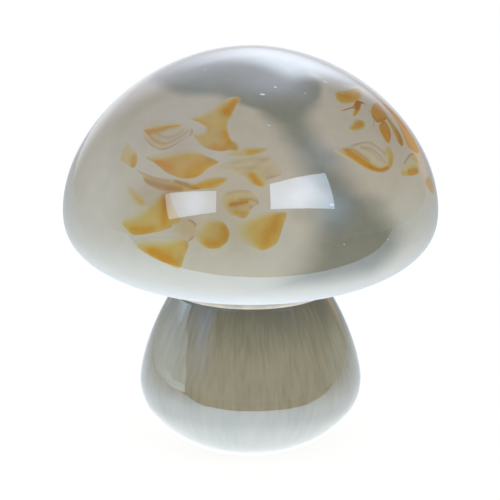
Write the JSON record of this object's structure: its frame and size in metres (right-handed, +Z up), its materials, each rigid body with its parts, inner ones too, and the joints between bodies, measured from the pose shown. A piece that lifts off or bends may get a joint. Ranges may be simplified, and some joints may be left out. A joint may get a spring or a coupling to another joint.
{
  "type": "glass mushroom ornament",
  "caption": "Blown glass mushroom ornament: a domed, clear-cased opal cap with amber chips, fused by a bead to a pear-shaped smoky stem that stands on a flat ground foot.",
  "frame": {"origin": "centre of the ground foot, on the surface that the ornament stands on", "axes": "+Z up along the turned axis through stem and cap; -Y is the side that the picture shows"},
  "size_m": [0.1118, 0.1118, 0.1215],
  "materials": {
    "clear_lustre_glass": "clear casing with a faint silver lustre, fire polished",
    "opal_glass": "milky cream opal glass, fire polished",
    "amber_glass": "amber glass chips, rolled in flush with soft edges",
    "smoke_streaked_glass": "smoky grey-green glass with fine drawn vertical streaks",
    "cream_glass": "cream opal glass, fire polished"
  },
  "bodies": {
    "root": {"cap_clear_casing": "clear_lustre_glass", "cap_opal_bubble": "opal_glass", "amber_chip_front_flame": "amber_glass", "amber_chip_front_shell": "amber_glass", "amber_chip_front_bud": "amber_glass", "amber_chip_front_oval": "amber_glass", "amber_chip_front_splinter": "amber_glass", "amber_chip_front_pebble": "amber_glass", "amber_chip_front_ribbon": "amber_glass", "amber_chip_front_wedge": "amber_glass", "amber_chip_front_crescent": "amber_glass", "amber_chip_front_ringlet": "amber_glass", "amber_chip_front_round": "amber_glass", "amber_chip_front_drop": "amber_glass", "amber_chip_front_fan": "amber_glass", "amber_chip_front_petal": "amber_glass", "amber_chip_right_tip": "amber_glass", "amber_chip_right_spur": "amber_glass", "amber_chip_right_dot": "amber_glass", "amber_chip_right_curl": "amber_glass", "amber_chip_right_fleck": "amber_glass", "amber_chip_right_splinter": "amber_glass", "amber_chip_right_ribbon": "amber_glass", "amber_chip_right_shell": "amber_glass", "amber_chip_right_ringlet": "amber_glass", "amber_chip_right_wedge": "amber_glass", "amber_chip_back_flame": "amber_glass", "amber_chip_back_leaf": "amber_glass", "amber_chip_back_oval": "amber_glass", "amber_chip_back_splinter": "amber_glass", "amber_chip_back_round": "amber_glass", "amber_chip_back_crescent": "amber_glass", "amber_chip_back_drop": "amber_glass", "amber_chip_back_fleck": "amber_glass", "amber_chip_left_leaf": "amber_glass", "amber_chip_left_shell": "amber_glass", "amber_chip_left_oval": "amber_glass", "amber_chip_left_ribbon": "amber_glass", "amber_chip_left_crescent": "amber_glass", "amber_chip_left_round": "amber_glass", "amber_chip_left_fan": "amber_glass", "neck_bead": "cream_glass", "stem_clear_casing": "clear_lustre_glass", "stem_smoke_bubble": "smoke_streaked_glass", "foot_seal": "cream_glass"}
  },
  "joints": []
}
